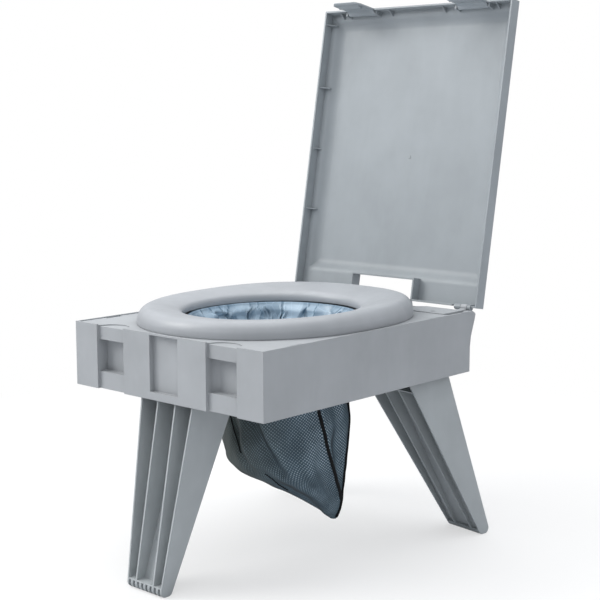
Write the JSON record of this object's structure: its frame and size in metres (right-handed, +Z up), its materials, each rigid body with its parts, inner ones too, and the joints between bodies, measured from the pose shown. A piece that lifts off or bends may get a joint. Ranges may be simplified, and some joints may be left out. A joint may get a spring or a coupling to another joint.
{
  "type": "portable camp toilet",
  "caption": "Folding camp toilet: shallow moulded case with hinged oval seat ring and latching lid on fold-in legs, with a liner in a hanging mesh bag.",
  "frame": {"origin": "floor level under the centre of the footprint, set up for use with the lid open", "axes": "+Z up, +Y towards the hinged back, +X towards the user's left when seated facing -Y"},
  "size_m": [0.4332, 0.6552, 0.8761],
  "materials": {
    "case": "satin fine-grained moulded plastic",
    "lid": "satin fine-grained moulded plastic",
    "seat": "smooth semi-gloss moulded plastic",
    "leg": "satin moulded plastic",
    "steel": "zinc-plated",
    "spring_steel": "rolled strip",
    "rubber": "matt",
    "dark_plastic": "matt moulded plastic",
    "mesh": "knitted polyester mesh",
    "cord": "braided cord",
    "liner": "thin crinkled polythene film",
    "band": "elastic"
  },
  "bodies": {
    "case": {"case_shell": "case", "hinge_rail": "case", "rail_screws": "steel", "lid_hinge_pins": "steel", "seat_hinge_pins": "steel", "front_leg_pin": "steel", "rear_left_leg_pin": "steel", "rear_right_leg_pin": "steel", "front_leg_spring": "spring_steel", "rear_left_leg_spring": "spring_steel", "rear_right_leg_spring": "spring_steel", "spring_screws": "steel", "bag_hooks": "dark_plastic", "hook_screws": "steel", "mesh_bag": "mesh", "bag_cord": "cord", "waste_liner": "liner", "liner_band": "band"},
    "lid": {"lid_shell": "lid", "latch_pins": "steel"},
    "latch_left_arm": {"latch_left": "lid"},
    "latch_right_arm": {"latch_right": "lid"},
    "seat": {"seat_ring": "seat", "seat_hinge_arms": "seat", "seat_arm_screws": "steel", "seat_bumpers": "rubber"},
    "leg_front": {"front_leg": "leg"},
    "leg_rear_left": {"rear_left_leg": "leg"},
    "leg_rear_right": {"rear_right_leg": "leg"}
  },
  "joints": [
    {"name": "lid_hinge", "type": "hinge", "parent": "case", "child": "lid", "pos_m": [0, 0.21672, 0.3745], "axis": [1, 0, 0], "range_deg": [0, 99.85]},
    {"name": "seat_hinge", "type": "hinge", "parent": "case", "child": "seat", "pos_m": [0, 0.17922, 0.3785], "axis": [1, 0, 0], "range_deg": [-96, 0]},
    {"name": "latch_left_hinge", "type": "hinge", "parent": "lid", "child": "latch_left_arm", "pos_m": [-0.117, 0.30863, 0.86003], "axis": [-1, 0, 0], "range_deg": [0, 70]},
    {"name": "latch_right_hinge", "type": "hinge", "parent": "lid", "child": "latch_right_arm", "pos_m": [0.117, 0.30863, 0.86003], "axis": [-1, 0, 0], "range_deg": [0, 70]},
    {"name": "front_leg_fold", "type": "hinge", "parent": "case", "child": "leg_front", "pos_m": [0, -0.22678, 0.319], "axis": [1, 0, 0], "range_deg": [0, 100.5], "deforming": ["front_leg_spring", "mesh_bag", "bag_cord", "waste_liner"]},
    {"name": "rear_left_leg_fold", "type": "hinge", "parent": "case", "child": "leg_rear_left", "pos_m": [-0.124, 0.10522, 0.319], "axis": [-0.9877, -0.1564, 0], "range_deg": [0, 107.7], "deforming": ["rear_left_leg_spring", "mesh_bag", "bag_cord", "waste_liner"]},
    {"name": "rear_right_leg_fold", "type": "hinge", "parent": "case", "child": "leg_rear_right", "pos_m": [0.124, 0.10522, 0.319], "axis": [-0.9877, 0.1564, 0], "range_deg": [0, 107.7], "deforming": ["rear_right_leg_spring", "mesh_bag", "bag_cord", "waste_liner"]}
  ]
}
